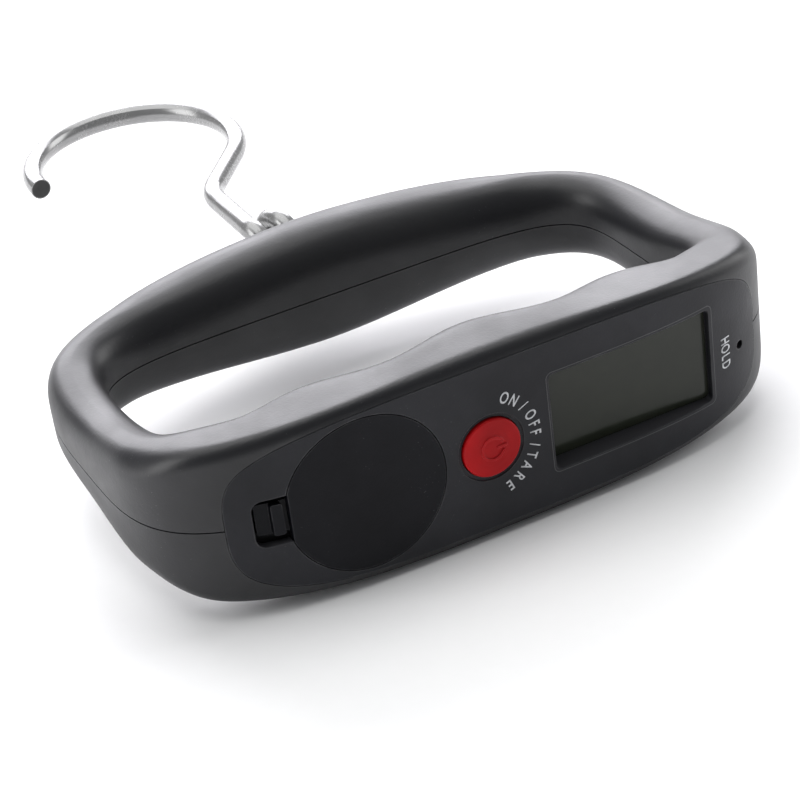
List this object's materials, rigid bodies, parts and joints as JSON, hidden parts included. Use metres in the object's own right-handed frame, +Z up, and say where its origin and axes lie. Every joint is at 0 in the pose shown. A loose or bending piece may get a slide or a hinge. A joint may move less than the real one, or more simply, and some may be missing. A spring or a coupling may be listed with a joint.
{
  "type": "digital luggage scale",
  "caption": "Hand-held luggage scale: D-shaped handle ring with finger grooves, a front panel with display, button and round battery door, and an open wire hook on the back bar.",
  "frame": {"origin": "bottom centre of the bounding box at rest", "axes": "+X to the right along the grip seen from the front panel, +Y from the front panel towards the hook, +Z up through the thickness of the ring"},
  "size_m": [0.121, 0.1576, 0.0349],
  "materials": {
    "shell_black": "fine-grained matte",
    "panel_black": "satin",
    "door_black": "satin",
    "button_red": "glossy",
    "plunger_black": "matte",
    "switch_black": "matte",
    "display_glass": "clear over grey-green liquid crystal",
    "frame_plastic": "matte",
    "zebra_rubber": "striped rubber",
    "board_green": "solder mask",
    "chip_black": "epoxy dome",
    "screw_steel": "zinc plated",
    "led_lens": "clear tinted",
    "cell_steel": "satin",
    "cup_plastic": "matte",
    "contact_steel": "nickel plated spring steel",
    "lead_red": "insulated wire",
    "load_cell_steel": "satin",
    "gauge_film": "film",
    "lead_grey": "insulated cable",
    "hook_steel": "polished",
    "collar_black": "matte"
  },
  "bodies": {
    "housing": {"upper_shell": "shell_black", "lower_shell": "shell_black", "face_plate": "panel_black", "button_switch": "switch_black", "lcd_panel": "display_glass", "lcd_frame": "frame_plastic", "zebra_connector": "zebra_rubber", "circuit_board": "board_green", "processor_chip": "chip_black", "board_screws": "screw_steel", "hold_led": "led_lens", "coin_cell": "cell_steel", "battery_cup": "cup_plastic", "positive_contact": "contact_steel", "negative_contact": "contact_steel", "battery_leads": "lead_red", "load_cell": "load_cell_steel", "load_cell_screws": "screw_steel", "strain_gauges": "gauge_film", "sensor_lead": "lead_grey", "outlet_collar": "collar_black", "shell_screws": "screw_steel"},
    "button": {"power_button": "button_red", "switch_plunger": "plunger_black"},
    "door": {"battery_door": "door_black"},
    "hook": {"hook": "hook_steel"}
  },
  "joints": [
    {"name": "button_press", "type": "slide", "parent": "housing", "child": "button", "axis": [0, 1, 0], "range_m": [0, 0.0005], "stiffness_N_per_m": 600, "springref_m": -0.0005},
    {"name": "battery_door_hinge", "type": "hinge", "parent": "housing", "child": "door", "pos_m": [-0.0117, -0.07809, 0.01744], "axis": [0, 0, 1], "range_deg": [0, 50]},
    {"name": "hook_swing", "type": "hinge", "parent": "housing", "child": "hook", "pos_m": [0, 0.01091, 0.01744], "axis": [1, 0, 0], "range_deg": [-100, 90]}
  ]
}
